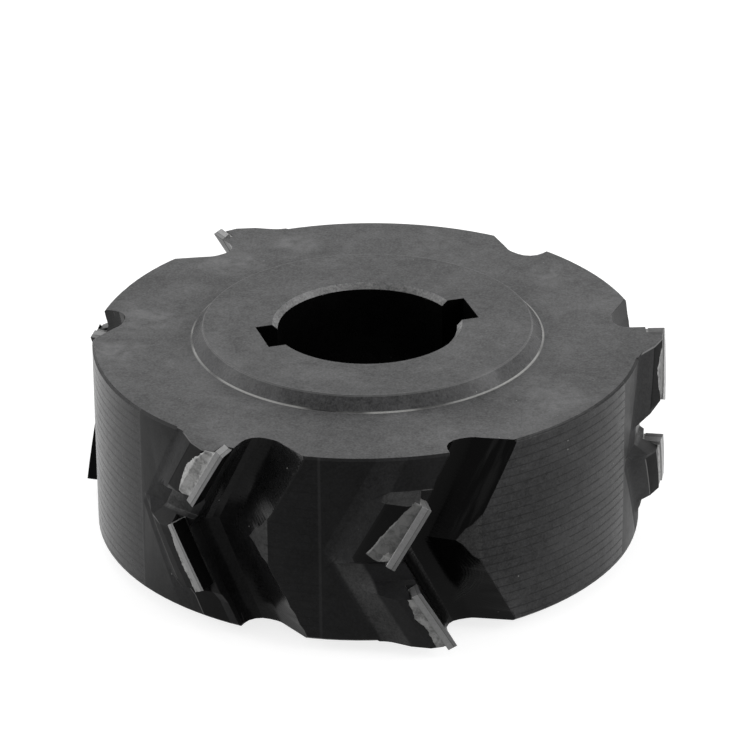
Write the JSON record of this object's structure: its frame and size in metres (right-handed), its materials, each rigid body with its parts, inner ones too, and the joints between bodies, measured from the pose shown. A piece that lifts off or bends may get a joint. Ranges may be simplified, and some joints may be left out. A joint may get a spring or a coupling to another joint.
{
  "type": "milling cutter",
  "caption": "Thick disc milling cutter with a keyed bore, raised hubs, chevron gullets and brazed diamond tips, for sizing the edges of panels.",
  "frame": {"origin": "on the cutter's axis, in the plane of the lower hub face", "axes": "+Z along the axis, out of the upper face; seen from +Z the tips cut counter-clockwise; +X points to the right of the picture"},
  "size_m": [0.0986, 0.097, 0.0376],
  "materials": {
    "black_oxide_steel": "matt black oxide",
    "diamond_on_hard_metal": "ground hard metal with a polished dark diamond face"
  },
  "bodies": {
    "root": {"cutter_body": "black_oxide_steel", "leading_upper_tip_1": "diamond_on_hard_metal", "leading_upper_tip_2": "diamond_on_hard_metal", "leading_upper_tip_3": "diamond_on_hard_metal", "leading_lower_tip_1": "diamond_on_hard_metal", "leading_lower_tip_2": "diamond_on_hard_metal", "leading_lower_tip_3": "diamond_on_hard_metal", "following_upper_tip_1": "diamond_on_hard_metal", "following_upper_tip_2": "diamond_on_hard_metal", "following_upper_tip_3": "diamond_on_hard_metal", "following_lower_tip_1": "diamond_on_hard_metal", "following_lower_tip_2": "diamond_on_hard_metal", "following_lower_tip_3": "diamond_on_hard_metal"}
  },
  "joints": []
}
